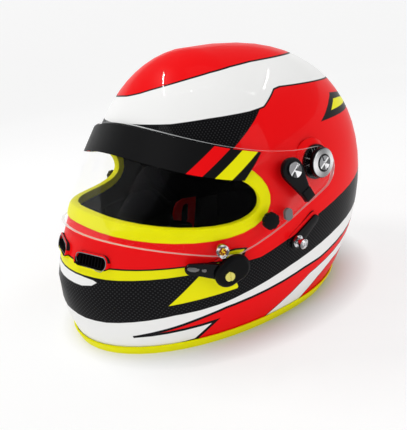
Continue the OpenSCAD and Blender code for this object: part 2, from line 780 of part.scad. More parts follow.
module anchor_post(right) {
    foot = anchor_pad_h + seat_gap + plate_t + 0.1;
    flange = 1.2;
    color("silver") on_side(right) at_place(anchor_s, anchor_z) rotate_extrude() polygon([
        [0, -shell_t - 3], [anchor_neck_r, -shell_t - 3], [anchor_neck_r, foot], [anchor_head_r + 0.8, foot],
        [anchor_head_r + 0.8, foot + flange], [anchor_neck_r, foot + flange + 0.6],
        [anchor_neck_r, foot + anchor_h - 4.2], [anchor_head_r, foot + anchor_h - 3.2],
        [anchor_head_r, foot + anchor_h - 1.2], [anchor_head_r - 1.6, foot + anchor_h], [0, foot + anchor_h]]);
}
module anchor_post_left() anchor_post(false);
module anchor_post_right() anchor_post(true);

// Grille in a chin intake
module vent_insert(right) {
    bar = 1.4;
    count = floor((vent_l - vent_h) / (grille_gap + bar));
    color("black") on_side(right) at_skin(vent_t, vent_z, -shell_t + 0.6) linear_extrude(grille_t) difference() {
        pill(vent_l - 2 * seat_gap, vent_h - 2 * seat_gap);
        for (k = [0:count]) translate([(k - count / 2) * (grille_gap + bar), 0])
            square([grille_gap, vent_h - 2 * seat_gap - 3], center = true);
    }
}
module vent_insert_left() vent_insert(false);
module vent_insert_right() vent_insert(true);

// Chin strap: each side hangs from a bolt on the wall, passes under the cheek pad and rises to the middle

strap_wall_t = 80;
strap_d = shell_t + 0.8 + strap_t / 2;
bolt_z = 44;
loop_x = 19;
loop_y = -45;
loop_z = 36;
// Sections of webbing: a middle point and a direction across, turned into four corners
function strap_section(p, across, face) = [
    p + across * strap_w / 2 + face * strap_t / 2, p + across * strap_w / 2 - face * strap_t / 2,
    p - across * strap_w / 2 - face * strap_t / 2, p - across * strap_w / 2 + face * strap_t / 2];
wall_across = unit(skin(strap_wall_t + 1, 30, strap_d) - skin(strap_wall_t - 1, 30, strap_d));
wall_foot = skin(strap_wall_t, 16, strap_d);
function mix(a, b, f) = a + (b - a) * f;

module webbing(end_x, end_z) {
    wall = [for (z = [bolt_z + 10, bolt_z, 30, 20])
        [skin(strap_wall_t, z, strap_d), wall_across, [1, 0, 0]]];
    steps = 7;
    run = [for (k = [0:steps])
        let (f = k / steps,
             p = [mix(wall_foot[0] - 4, end_x, f), mix(wall_foot[1], loop_y, f),
                  10 + (end_z - 10) * f * f],
             rise = atan2(2 * (end_z - 10) * f, wall_foot[0] - 4 - end_x))
        [p, unit(mix(wall_across, [0, 1, 0], f)), [sin(rise), 0, cos(rise)]]];
    sweep([for (s = concat(wall, run)) strap_section(s[0], s[1], s[2])]);
}

loop_r = 2.6;
module strap_loop() {
    reach = 2 * wire_r + 0.6;
    translate([loop_x - reach / 2, loop_y + strap_w / 2, loop_z]) rotate([90, 0, 0]) linear_extrude(strap_w)
        difference() {
            pill(reach + 2 * (loop_r + strap_t), 2 * (loop_r + strap_t));
            pill(reach + 2 * loop_r, 2 * loop_r);
        }
}
module chin_strap_left() {
    color("black") {
        webbing(loop_x + 3.6, loop_z);
        strap_loop();
    }
}
module chin_strap_right() {
    color("black") on_side(true) webbing(8, 30);
}

module strap_bolt(right) {
    color("silver") on_side(right) at_skin(strap_wall_t, bolt_z, -shell_t - 0.8 - strap_t - 0.3) rotate([180, 0, 0])
        slotted_screw(5.5, 1.6, bolt_r, 0.2);
}
module strap_bolt_left() strap_bolt(false);
module strap_bolt_right() strap_bolt(true);

// D-ring: a straight bar in the strap's loop and a round bow that hangs from it
module d_ring(x) {
    color("silver") translate([x, loop_y, loop_z]) {
        rotate([90, 0, 0]) cylinder(r = wire_r, h = 2 * bow_r, center = true);
        rotate([0, 90, 0]) rotate([0, 0, -90]) rotate_extrude(angle = 180) translate([bow_r, 0]) circle(r = wire_r);
        for (side = [-1, 1]) translate([0, side * bow_r, 0]) sphere(r = wire_r);
    }
}
module d_ring_inner() d_ring(loop_x - 2 * wire_r - 0.6);
module d_ring_outer() d_ring(loop_x);

outer_shell();
eyeport_gasket();
rim_trim();
impact_liner();
chin_liner();
crown_pad();
cheek_pad_left();
cheek_pad_right();
neck_roll();
visor();
sun_strip();
pivot_washer_left();
pivot_washer_right();
pivot_cap_left();
pivot_cap_right();
pivot_screw_left();
pivot_screw_right();
tension_lever_left();
tension_lever_right();
lever_screw_left();
lever_screw_right();
tear_off_post_left();
tear_off_post_right();
visor_stud_left();
visor_stud_right();
catch_stud();
latch_base();
latch_lever();
latch_cover();
latch_screw();
anchor_plate_left();
anchor_plate_right();
anchor_post_left();
anchor_post_right();
vent_insert_left();
vent_insert_right();
chin_strap_left();
chin_strap_right();
strap_bolt_left();
strap_bolt_right();
d_ring_inner();
d_ring_outer();
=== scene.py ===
# %% [markdown]
# # A full-face racing helmet
#
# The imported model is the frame. It stands on z = 0, faces -Y, and the wearer's left side is +X. This script gives
# every piece its finish, replaces the padding and the straps with softer forms, and sets up the studio. The sizes
# are in metres, as Blender has them, and `MM` turns millimetres into metres.

# %% Load the frame
import json
import math

import bmesh
import bpy
from mathutils import Matrix, Vector
from mathutils.bvhtree import BVHTree


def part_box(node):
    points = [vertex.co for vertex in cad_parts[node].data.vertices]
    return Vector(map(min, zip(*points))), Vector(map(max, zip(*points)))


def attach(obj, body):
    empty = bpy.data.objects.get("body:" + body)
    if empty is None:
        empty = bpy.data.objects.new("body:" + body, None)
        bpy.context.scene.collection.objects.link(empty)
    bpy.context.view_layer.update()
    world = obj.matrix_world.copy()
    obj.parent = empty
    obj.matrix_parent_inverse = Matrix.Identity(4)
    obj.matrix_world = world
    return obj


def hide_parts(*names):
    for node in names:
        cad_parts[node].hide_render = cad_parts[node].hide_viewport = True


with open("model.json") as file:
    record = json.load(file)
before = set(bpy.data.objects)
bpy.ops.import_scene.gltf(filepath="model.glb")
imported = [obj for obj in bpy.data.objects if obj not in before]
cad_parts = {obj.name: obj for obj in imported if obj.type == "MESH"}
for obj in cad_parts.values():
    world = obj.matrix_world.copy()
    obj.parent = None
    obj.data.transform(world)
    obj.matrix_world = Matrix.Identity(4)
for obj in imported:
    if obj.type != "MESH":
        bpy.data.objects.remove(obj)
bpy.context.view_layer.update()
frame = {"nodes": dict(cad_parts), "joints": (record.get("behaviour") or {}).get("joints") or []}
nodes = frame["nodes"]
MM = 0.001
SIDES = {"left": 1, "right": -1}

# %% [markdown]
# ## The camera
#
# The picture is 407 by 430 pixels. The camera looks at the helmet from ahead of its left side and a little from
# above, and it leans by a few degrees. Its three axes are worked out as vectors and set as the columns of its
# matrix, because that states the lean plainly. The small shift puts the middle of the lens where it was.

# %% Camera
WIDTH, HEIGHT = 407, 430
azimuth, elevation, lean = map(math.radians, (55.21, 13.55, -7.98))
aim = Vector((0, -4.5, 130)) * MM
distance = 547.82 * MM
focal_pixels = 532.27
middle_pixel = (202.46, 163.03)

backward = Vector((
    math.sin(azimuth) * math.cos(elevation),
    -math.cos(azimuth) * math.cos(elevation),
    math.sin(elevation),
))
level = Vector((math.cos(azimuth), math.sin(azimuth), 0))
rise = backward.cross(level)
across = level * math.cos(lean) + rise * math.sin(lean)
upward = rise * math.cos(lean) - level * math.sin(lean)

camera = bpy.data.objects.new("camera", bpy.data.cameras.new("camera"))
bpy.context.scene.collection.objects.link(camera)
turn = Matrix((across, upward, backward)).transposed().to_4x4()
camera.matrix_world = Matrix.Translation(aim + backward * distance) @ turn
camera.data.sensor_width = 36
camera.data.lens = focal_pixels * camera.data.sensor_width / HEIGHT
camera.data.shift_x = (WIDTH / 2 - middle_pixel[0]) / HEIGHT
camera.data.shift_y = (middle_pixel[1] - HEIGHT / 2) / HEIGHT
camera.data.clip_start = 0.01
bpy.context.scene.camera = camera
bpy.context.scene.view_settings.view_transform = "Standard"
print("lens:", round(camera.data.lens, 1), "mm")

# %% [markdown]
# ## Maths for materials
#
# A painted surface is a formula: the height and the angle round the helmet decide the colour. Blender writes such a
# formula as a web of nodes, which is hard to read. `Field` wraps one output of a node, so that `a - b` or `1 - a`
# adds the Math node by itself, and `Look` is one material, whose method `node` makes every other kind of node.


# %% Field and Look
class Field:
    """A value that changes over a surface: one output of a node."""

    def __init__(self, look, socket):
        self.look, self.socket = look, socket

    def math(self, operation, *others):
        return self.look.node("ShaderNodeMath", {"operation": operation}, dict(enumerate((self, *others))))

    def __add__(self, other):
        return self.math("ADD", other)

    def __sub__(self, other):
        return self.math("SUBTRACT", other)

    def __rsub__(self, other):
        return self.scaled(-1, other)

    def __mul__(self, other):
        return self.math("MULTIPLY", other)

    def __truediv__(self, other):
        return self.math("DIVIDE", other)

    def __mod__(self, other):
        return self.math("FLOORED_MODULO", other)

    def __neg__(self):
        return self * -1

    def __abs__(self):
        return self.math("ABSOLUTE")

    def scaled(self, factor, plus, clamp=False):
        """This value times a factor plus another, in one node, and kept from 0 to 1 if clamp is set."""
        settings = {"operation": "MULTIPLY_ADD", "use_clamp": clamp}
        return self.look.node("ShaderNodeMath", settings, {0: self, 1: factor, 2: plus})

    def least(self, other):
        return self.math("MINIMUM", other)

    def most(self, other):
        return self.math("MAXIMUM", other)

    def within(self):
        return self.most(0).least(1)


class Look:
    """One material, made from nodes."""

    def __init__(self, name, colour, roughness=0.5, metallic=0.0, coat=0.0, specular=0.5):
        self.material = bpy.data.materials.new(name)
        self.material.use_nodes = True
        self.tree = self.material.node_tree
        self.shader = self.tree.nodes["Principled BSDF"]
        for socket, value in {
            "Base Color": (*colour, 1),
            "Roughness": roughness,
            "Metallic": metallic,
            "Coat Weight": coat,
            "Specular IOR Level": specular,
        }.items():
            self.shader.inputs[socket].default_value = value

    def node(self, kind, settings=None, inputs=None, output=0):
        made = self.tree.nodes.new(kind)
        for name, setting in (settings or {}).items():
            if name == "line":
                marks = made.mapping.curves[0].points
                marks[0].location, marks[1].location = setting[0], setting[-1]
                for mark in setting[1:-1]:
                    marks.new(*mark)
                for mark in marks:
                    mark.handle_type = "VECTOR"
                made.mapping.update()
            else:
                setattr(made, name, setting)
        for name, item in (inputs or {}).items():
            if isinstance(item, Field):
                self.tree.links.new(item.socket, made.inputs[name])
            else:
                made.inputs[name].default_value = item
        return Field(self, made.outputs[output])

    def place(self):
        """x, y and z on the object, in millimetres."""
        point = self.node("ShaderNodeTexCoord", output="Object")
        split = self.node("ShaderNodeSeparateXYZ", inputs={0: point}).socket.node
        return [Field(self, socket) / MM for socket in split.outputs]

    def noise(self, size_mm, detail=2.0):
        """A soft random value from 0 to 1, with lumps of about this size."""
        point = self.node("ShaderNodeTexCoord", output="Object")
        return self.node("ShaderNodeTexNoise", None, {"Vector": point, "Scale": 1 / (size_mm * MM), "Detail": detail})

    def mix(self, share, first, second):
        """From the first colour to the second, as share goes from 0 to 1."""
        colours = [(*c, 1) if isinstance(c, tuple) else c for c in (first, second)]
        return self.node("ShaderNodeMix", {"data_type": "RGBA"}, {0: share, 6: colours[0], 7: colours[1]}, 2)

    def wire(self, socket, field):
        self.tree.links.new(field.socket, self.shader.inputs[socket])

    def relief(self, height, depth_mm, strength):
        """Raises the surface where height is 1, by about depth_mm."""
        bump = self.node("ShaderNodeBump", None, {"Height": height, "Distance": depth_mm * MM, "Strength": strength})
        self.wire("Normal", bump)


def over(distance, soft=0.5):
    """1 where a distance in millimetres is above 0, with a soft edge."""
    return distance.scaled(1 / soft, 0.5, clamp=True)


def span(*parts):
    """The length of a vector whose parts are fields."""
    first, *others = (part * part for part in parts)
    return sum(others, first).math("SQRT")


def angle_round(x, y):
    """The angle round the helmet in degrees: 0 in front, 180 behind, and the same on the left and the right."""
    return abs(x).math("ARCTAN2", -y) * (180 / math.pi)


def dress(look, *names):
    for name in names:
        thing = nodes[name] if isinstance(name, str) else name
        thing.data.materials.clear()
        thing.data.materials.append(look.material)


def pair(name):
    return [f"{name}_{side}" for side in SIDES]


print("Field and Look are ready")

# %% [markdown]
# ## The studio
#
# A helmet with a gloss coat shows its room as clearly as its paint. It stands on a light table, a white sheet lit
# from behind that curves up all round, so that no horizon shows and the shadow stays faint. The room above is dim,
# because a black piece or a polished one needs something dark to mirror. Three big lamps bring the light to a plain
# level. Long thin lamps, like fluorescent tubes, stand where the lacquer mirrors them as white lines on the crown.

# %% Light table, room and lamps
SHEET_MIDDLE, SHEET_FLAT, SHEET_BEND, SEGMENTS = 0.02, 2.2, 1.6, 64
NEAR_GLOW, FAR_GLOW = (98, 50), (500, 1200)  # where each begins, and how much further out it is full, in millimetres
LAMP_TARGET = Vector((0, 0, 0.13))
TUBE_WIDTH = 0.012
profile = [(SHEET_MIDDLE, 0), (SHEET_FLAT, 0)]
for degrees in range(8, 89, 8):
    bend = math.radians(degrees)
    profile.append((SHEET_FLAT + SHEET_BEND * math.sin(bend), SHEET_BEND * (1 - math.cos(bend))))
ring_points = [
    (r * math.cos(2 * math.pi * i / SEGMENTS), r * math.sin(2 * math.pi * i / SEGMENTS), height)
    for r, height in profile
    for i in range(SEGMENTS)
]
ring_faces = [
    (a + i, a + (i + 1) % SEGMENTS, a + SEGMENTS + (i + 1) % SEGMENTS, a + SEGMENTS + i)
    for a in range(0, SEGMENTS * (len(profile) - 1), SEGMENTS)
    for i in range(SEGMENTS)
]
sheet_mesh = bpy.data.meshes.new("light_table")
sheet_mesh.from_pydata(ring_points, [], [*ring_faces, tuple(range(SEGMENTS))])
for face in sheet_mesh.polygons:
    face.use_smooth = True
sheet = bpy.data.objects.new("light_table", sheet_mesh)
bpy.context.scene.collection.objects.link(sheet)

table_look = Look("light_table", (0.42, 0.42, 0.42), 0.9, specular=0.0)
x, y, z = table_look.place()
from_middle = (x * x + y * y * 0.7).math("SQRT")
# the sheet's glow stays nearly dark round the helmet's foot, a painted shadow, and grows a little brighter far out
glow_past_painted_shadow, far_glow = (((from_middle - start) / width).within() for start, width in (NEAR_GLOW, FAR_GLOW))
lit = table_look.mix(far_glow, (0.6, 0.6, 0.6), (0.7, 0.7, 0.7))
table_look.wire("Emission Color", table_look.mix(glow_past_painted_shadow, (0.02, 0.02, 0.02), lit))
table_look.shader.inputs["Emission Strength"].default_value = 1
dress(table_look, sheet)

world = bpy.data.worlds.new("room")
bpy.context.scene.world = world
world.use_nodes = True
world.node_tree.nodes["Background"].inputs["Color"].default_value = (1, 1, 1, 1)
world.node_tree.nodes["Background"].inputs["Strength"].default_value = 0.3


def lamp(name, place, size, power):
    data = bpy.data.lights.new(name, "AREA")
    data.shape, data.energy = "RECTANGLE", power
    data.size, data.size_y = size
    thing = bpy.data.objects.new(name, data)
    bpy.context.scene.collection.objects.link(thing)
    thing.location = place
    thing.rotation_euler = (LAMP_TARGET - Vector(place)).to_track_quat("-Z", "Y").to_euler()
    return thing


def tube(name, start, end, power):
    """A long thin lamp from start to end, turned about its own length so that it faces the helmet."""
    start, end = Vector(start), Vector(end)
    thing = lamp(name, (start + end) / 2, (TUBE_WIDTH, (end - start).length), power)
    along_lamp = (end - start).normalized()
    back = (start + end) / 2 - LAMP_TARGET
    back = (back - along_lamp * back.dot(along_lamp)).normalized()
    turned_axes = Matrix((along_lamp.cross(back), along_lamp, back)).transposed().to_4x4()
    thing.matrix_world = Matrix.Translation(thing.location) @ turned_axes


lamp("overhead", (0.1, 0.1, 1.9), (1.4, 1.4), 2)
lamp("front", (-0.3, -1.7, 1.3), (1.0, 1.0), 5.5)
lamp("left_side", (1.8, 0.3, 1.2), (1.0, 1.0), 5.5)
tube("tube_right", (-0.915, -0.119, 1.263), (-0.627, -0.622, 1.307), 6.5)
tube("tube_rear", (-0.146, 1.073, 1.122), (0.304, 0.969, 1.197), 2)
arc = [(-0.48, -0.66, 1.36), (-0.12, -0.41, 1.55), (0.19, 0.03, 1.61), (0.36, 0.49, 1.48), (0.42, 0.88, 1.24)]
for number, ends in enumerate(zip(arc, arc[1:])):
    tube(f"tube_arc_{number}", *ends, 0.8)

# %% [markdown]
# ## Smooth surfaces
#
# The CAD nodes are made of flat facets. Welding their doubled corners, and splitting the mesh again only where an
# edge is really sharp, lets Blender shade the facets as one curved face. Small hardware gets a narrow bevel too,
# because a real edge is never perfectly sharp and shows as a bright line.

# %% Shading and bevels
WELD_MM = 0.02  # corners that lie nearer than this become one
SHARP, CORNER = math.radians(32), math.radians(40)  # an edge that splits the shading, and one that gets a bevel


def smooth(name, bevel_mm):
    thing = nodes[name]
    normals = thing.data.attributes.get("custom_normal")
    if normals:
        thing.data.attributes.remove(normals)
    for face in thing.data.polygons:
        face.use_smooth = True
    weld = thing.modifiers.new("weld", "WELD")
    weld.merge_threshold = WELD_MM * MM
    if bevel_mm:
        bevel = thing.modifiers.new("bevel", "BEVEL")
        bevel.width = bevel_mm * MM
        bevel.segments = 2
        bevel.limit_method = "ANGLE"
        bevel.angle_limit = CORNER
        bevel.use_clamp_overlap = True
    thing.modifiers.new("split", "EDGE_SPLIT").split_angle = SHARP


HARDWARE = {
    0.45: [*pair("tension_lever"), "latch_lever", "latch_cover", "latch_base", *pair("anchor_plate")],
    0.3: [*pair("tear_off_post"), *pair("visor_stud"), *pair("pivot_cap"), *pair("pivot_washer"), "catch_stud"],
    0.2: [*pair("pivot_screw"), *pair("lever_screw"), "latch_screw", *pair("strap_bolt")],
}
bevels = {name: width for width, names in HARDWARE.items() for name in names}
for name in nodes:
    smooth(name, bevels.get(name, 0))
print("smoothed", len(nodes), "nodes, and bevelled", len(bevels))

# %% [markdown]
# ## The painted shell
#
# The real shell is sprayed and masked, and then lacquered. Its layout follows the angle round the helmet, which is
# 0 in front and 180 behind, and the height. Both sides are alike, but for the red crown, which reaches lower on the
# right in front. Each boundary is a line of straight pieces, each wedge is the inside of a few straight edges, and a
# dark pinstripe runs along the boundaries.

# %% Colours and boundaries
RED = (0.88, 0.005, 0.007)
WHITE = (0.9, 0.9, 0.89)
BLACK = (0.006, 0.006, 0.007)
YELLOW = (0.87, 0.83, 0.004)
DEGREE_MM = 2.3  # of shell to a degree round it
PINSTRIPE_MM = 1.3
TOW_MM = 1.7  # width of a bundle of carbon fibres
CURVE_REACH, CURVE_TOP = 180, 300  # the degrees and millimetres that a boundary's curve covers
CHIN_BAND_END, LOW_RED_START = 64, 23.7  # in degrees

# each boundary is a list of (degrees, millimetres up)
crown_line = [(0, 212.5), (9, 213.8), (19, 216), (37, 219.5), (52, 222.5), (66, 225), (83, 227), (105, 228), (180, 227)]
crown_drop = [(0, 0), (37, 10), (60, 10), (110, 0), (180, 0)]  # how much lower the crown's line runs on the right

sash_line = [
    (0, 189), (40, 188.3), (59, 190), (78, 190.6), (86, 192), (99, 203.2), (104, 204), (128, 200.8), (180, 194),
]
side_line = [(0, 82), (41, 81), (55, 80.5), (63, 74), (70, 73.5), (74, 75.7), (101, 91.7), (114, 97), (180, 118)]
band_low = [(0, 72.6), (12, 72.6), (20, 72.2), (45, 73), (60, 76), (180, 76)]
hem_top = [
    (0, 36), (8, 34.6), (16, 34.5), (30, 37.3), (38, 39.3), (46, 39.8), (55, 41.5), (70, 48), (84, 54.6), (113, 65.7),
    (180, 88),
]
hem_low = [(0, 10), (24, 20), (37, 26), (45, 30.3), (55, 35), (70, 38.2), (84, 41.5), (93, 44), (104, 45), (180, 74)]


def boundary(angle, marks):
    """The height of a boundary at an angle."""
    line = [(degrees / CURVE_REACH, up / CURVE_TOP) for degrees, up in marks]
    return angle.look.node("ShaderNodeFloatCurve", {"line": line}, {"Value": angle / CURVE_REACH}) * CURVE_TOP


def wedge(angle, height, corners):
    """How far inside an outline a point is. The corners go anticlockwise in (angle, height)."""
    inside = None
    for (a, b), (c, d) in zip(corners, corners[1:] + corners[:1]):
        run, climb = (c - a) * DEGREE_MM, d - b
        length = math.hypot(run, climb)
        # how fast the distance from this side grows with the height, and with the angle
        per_mm, per_degree = run / length, -DEGREE_MM * climb / length
        edge = height.scaled(per_mm, angle.scaled(per_degree, -per_mm * b - per_degree * a))
        inside = edge if inside is None else inside.least(edge)
    return inside


def weave_with_painted_sheen(along, up):
    """Carbon cloth: 1 along the painted highlight on the crown of each tow that lies on top, every second one in a row.
    """
    column, row = ((way / TOW_MM).math("FLOOR") for way in (along, up))
    on_top = over(0.5 - (column + row) % 2, 0.2)
    # a tow has a painted highlight along its middle and painted shade at its edges, and one that lies below is painted
    # nearly dark
    tow_sheen_across, tow_sheen_up = ((1.3 - abs((way / TOW_MM) % 1 - 0.5) * 2.4).within() for way in (along, up))
    return on_top * tow_sheen_across * tow_sheen_up + (1 - on_top) * tow_sheen_up * 0.12


# %% Paint
shell = Look("shell_paint", RED, 0.3, coat=0.13, specular=0.01)
x, y, z = shell.place()
angle = angle_round(x, y)
# the carbon's colour carries the weave's painted sheen and painted shade
carbon = shell.mix(weave_with_painted_sheen(angle * DEGREE_MM, z), (0.001, 0.001, 0.0015), (0.026, 0.026, 0.028))

sash = boundary(angle, sash_line)
crown = boundary(angle, crown_line) - boundary(angle, crown_drop) * over(-x)
side = boundary(angle, side_line)
hem = boundary(angle, hem_top)
foot = boundary(angle, hem_low)

brow_panel = (sash - z).least(wedge(angle, z, [(-9, 150), (55.5, 150.5), (83.5, 191.5), (-9, 300)]))
chin_band = (side - z).least(z - boundary(angle, band_low)).least((CHIN_BAND_END - angle) * DEGREE_MM)
flash = wedge(angle, z, [(36, 48), (60, 51), (60.5, 53), (58, 76), (47.6, 72)])
badge = wedge(angle, z, [(-20, 64), (8, 64.3), (12.5, 66.3), (14.5, 69.3), (13, 70.8), (8, 71.8), (-20, 72.3)])
tooth = wedge(angle, z, [(10, 0), (42, 8), (50.5, 24), (23.7, 20), (10, 14)])
low_red = (foot - z).least(-tooth).least((angle - LOW_RED_START) * DEGREE_MM)
rear_patch = wedge(angle, z, [(68.5, 4), (190, 4), (190, 72), (98, 33.5)])
rear_wedge = wedge(angle, z, [(91.5, 4), (140, 4), (165, 40), (117, 30), (106, 21.9)])

paint = shell.mix(over(z - sash), RED, WHITE)
for mask, colour in (
    (z - crown, RED),
    (brow_panel, carbon),
    (side - z, carbon),
    (chin_band, YELLOW),
    (flash, YELLOW),
    (badge, WHITE),
    (hem - z, WHITE),
    (low_red, RED),
    (rear_patch, WHITE),
    (rear_wedge, RED),
):
    paint = shell.mix(over(mask), paint, colour)

pinstripe = over(PINSTRIPE_MM - abs(low_red), 0.4)
for edge in (z - crown, z - sash, hem - z, chin_band, side - z, flash):
    pinstripe = pinstripe.most(over(PINSTRIPE_MM / 2 - abs(edge), 0.4))
for edge in (rear_patch, rear_wedge):
    pinstripe = pinstripe.most(over(PINSTRIPE_MM / 3 - abs(edge), 0.4))
paint = shell.mix(pinstripe, paint, BLACK)

for corners, colour in (
    ([(113.7, 167.9), (138, 166.8), (166, 165.8), (168, 176), (146, 183.5), (135.5, 187)], BLACK),
    ([(125.5, 173.2), (144, 172.2), (162, 171.2), (163, 175), (141.6, 179.4), (134.9, 181.3)], YELLOW),
    ([(55, 78), (63.2, 78), (65.1, 86.5), (60.8, 88.4), (57, 88)], BLACK),
    ([(57, 80.5), (61.8, 80), (64, 85.5), (60.8, 86.7), (58, 86.4)], YELLOW),
):
    paint = shell.mix(over(wedge(angle, z, corners)), paint, colour)
shell.wire("Base Color", paint)
shell.wire("Roughness", shell.noise(40) * 0.08 + 0.26)

raw = Look("bare_composite", (0.01, 0.01, 0.011), 0.7, specular=0.2)
x, y, z = raw.place()
# the bare composite carries the same painted sheen and painted shade of the weave
raw.wire("Base Color", raw.mix(weave_with_painted_sheen(x + y, z), (0.003, 0.003, 0.004), (0.01, 0.01, 0.011)))
raw.wire("Roughness", raw.noise(12) * 0.2 + 0.6)
dress(shell, "outer_shell")
nodes["outer_shell"].data.materials.append(raw.material)
inside = 0
for face in nodes["outer_shell"].data.polygons:
    if face.normal.dot(face.center - Vector((0, 0, 0.12))) < 0:
        face.material_index = 1
        inside += 1
print("nodes in the paint:", len(shell.tree.nodes), "and bare faces inside:", inside)

# %% [markdown]
# ## Rubber and film
#
# The gasket and the trim are moulded yellow rubber with a satin skin. The sun strip is an opaque film on the visor,
# with a red and a yellow stripe that slant across each end.

# %% Rubber and sun strip
rubber = Look("yellow_rubber", YELLOW, 0.45, specular=0.06)
rubber.wire("Base Color", rubber.mix(rubber.noise(14), (0.83, 0.8, 0.0), (0.93, 0.89, 0.001)))
rubber.wire("Roughness", rubber.noise(6) * 0.2 + 0.36)
rubber.relief(rubber.noise(1.2, 3), 0.12, 0.35)
dress(rubber, "eyeport_gasket", "rim_trim")

STRIPE_Z, DEGREES_PER_MM = 141, 0.65
film = Look("sun_strip_film", BLACK, 0.35, specular=0.04)
x, y, z = film.place()
slant = angle_round(x, y) - (z - STRIPE_Z) * DEGREES_PER_MM  # the angle at which a stripe through here meets STRIPE_Z
tint = (0.007, 0.007, 0.0075)
for start, end, colour in ((39.2, 47, RED), (52.8, 60.4, YELLOW)):
    tint = film.mix(over((slant - start).least(end - slant) * DEGREE_MM), tint, colour)
film.wire("Base Color", tint)
film.wire("Roughness", film.noise(9) * 0.1 + 0.32)
dress(film, "sun_strip")
print("dressed the gasket, the trim and the sun strip")

# %% [markdown]
# ## Hardware
#
# The levers, the latch and the posts are moulded black plastic, some glossy and some satin. The pivot and lever
# screws are polished, and each head's colour is a painted reflection of the room, in parts: a bright slot on a slant,
# a grey half above, and a dark half with a bright fan below. The pivot caps were turned on a lathe, which leaves fine
# rings round their middle. The rings are a sine of the distance from the pivot, used as a relief. Each cap's face also
# carries two painted bright fans, a highlight, and the polished steel of the posts, bolts and rings is streaked with a
# painted reflection.

# %% Plastics
satin = Look("satin_black_plastic", (0.003, 0.003, 0.0035), 0.42, specular=0.08)
satin.wire("Roughness", satin.noise(8) * 0.2 + 0.34)
satin.relief(satin.noise(0.5, 2), 0.06, 0.4)
dress(satin, "latch_base", "latch_cover", *pair("tear_off_post"))

grille = Look("dull_black_grille", (0.002, 0.002, 0.003), 0.8, specular=0.03)
grille.wire("Base Color", grille.mix(grille.noise(5), (0.001, 0.001, 0.002), (0.004, 0.004, 0.005)))
dress(grille, *pair("vent_insert"))

glossy = Look("glossy_black_plastic", (0.003, 0.003, 0.004), 0.2, coat=0.04, specular=0.1)
glossy.wire("Roughness", glossy.noise(7) * 0.14 + 0.14)
dress(glossy, "latch_lever", *pair("tension_lever"), *pair("pivot_washer"), *pair("anchor_plate"))

grey = Look("grey_plastic", (0.13, 0.135, 0.14), 0.38)
grey.wire("Roughness", grey.noise(5) * 0.2 + 0.3)
grey.relief(grey.noise(0.6, 2), 0.06, 0.4)
dress(grey, *pair("visor_stud"))
print("dressed the plastic hardware")

# %% Metals
PIVOT_Y, PIVOT_Z = 21, 140
# the painted reflection on a screw head: the slant of its bright slot, the slot's half width, and how fast the bright
# fan widens
SLOT_LEAN, SLOT_HALF_WIDTH, FAN_SLOPE = math.radians(36), 0.8, 0.55
CAP_DISH, CAP_RELIEF, CAP_FACE, RING_RATE = 7.6, 12, 12.3, 9  # three radii, and how fast the rings follow each other
AMBER_RADIUS = 3.4

chrome = Look("polished_steel", (0.62, 0.63, 0.65), 0.12, metallic=1)
chrome.wire("Roughness", chrome.noise(4) * 0.14 + 0.08)
# the steel's colour goes from dark to bright in streaks, a painted reflection of the room
painted_reflection_streaks = ((chrome.noise(3.5, 1) - 0.4) * 5).within()
chrome.wire("Base Color", chrome.mix(painted_reflection_streaks, (0.22, 0.22, 0.23), (0.7, 0.71, 0.73)))
dress(chrome, *pair("anchor_post"), *pair("strap_bolt"), "d_ring_inner", "d_ring_outer")


def screw_head(name):
    """A polished screw head, whose colour is a painted reflection in three parts round its slot."""
    look = Look(name + "_steel", (0.6, 0.6, 0.62), 0.15, metallic=1)
    x, y, z = look.place()
    middle = (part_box(name)[0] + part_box(name)[1]) / 2 / MM
    outward = Vector((middle.x, middle.y - PIVOT_Y, 0)).normalized()
    rearward = Vector((-outward.y, outward.x)) * math.copysign(1, middle.x)
    back, up = (x - middle.x) * rearward.x + (y - middle.y) * rearward.y, z - middle.z
    sine, cosine = math.sin(SLOT_LEAN), math.cos(SLOT_LEAN)
    above, beside = up * cosine - back * sine, back * cosine + up * sine
    painted_fan_highlight = over(above * -FAN_SLOPE - abs(beside), 0.4)
    painted_lower_half = look.mix(painted_fan_highlight, (0.12, 0.12, 0.125), (0.95, 0.95, 0.96))
    painted_halves = look.mix(over(above, 0.3), painted_lower_half, (0.3, 0.3, 0.31))
    look.wire("Base Color", look.mix(over(SLOT_HALF_WIDTH - abs(above), 0.3), painted_halves, (0.8, 0.8, 0.81)))
    look.wire("Roughness", look.noise(3) * 0.2 + 0.08)
    dress(look, name)


for name in (*pair("pivot_screw"), *pair("lever_screw")):
    screw_head(name)

turned = Look("turned_aluminium", (0.56, 0.57, 0.58), 0.25, metallic=1)
_, y, z = turned.place()
behind_pivot, over_pivot = y - PIVOT_Y, z - PIVOT_Z
radius = span(behind_pivot, over_pivot)
rings = (radius * RING_RATE).math("SINE") * 0.5 + 0.5
painted_fan_share = (over_pivot.math("ARCTAN2", behind_pivot) * 2).math("COSINE") * 0.5 + 0.5  # two bright fans, a painted highlight such as a turned face shows
cap_face_painted_fans = turned.mix(painted_fan_share, (0.25, 0.25, 0.255), (0.85, 0.85, 0.86))
dish = turned.mix(over(CAP_DISH - radius, 0.6), cap_face_painted_fans, (0.07, 0.07, 0.075))
turned.wire("Base Color", turned.mix(over(radius - CAP_FACE, 0.3), dish, BLACK))
turned.wire("Roughness", rings * 0.15 + 0.16)
turned.relief(rings * over(CAP_RELIEF - radius), 0.04, 0.5)
dress(turned, *pair("pivot_cap"))

stud = Look("stud_with_amber_middle", (0.5, 0.5, 0.5), 0.2, metallic=1)
centre = [(low + high) / 2 / MM for low, high in zip(*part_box("catch_stud"))]
from_centre = span(*(along - middle for along, middle in zip(stud.place(), centre)))
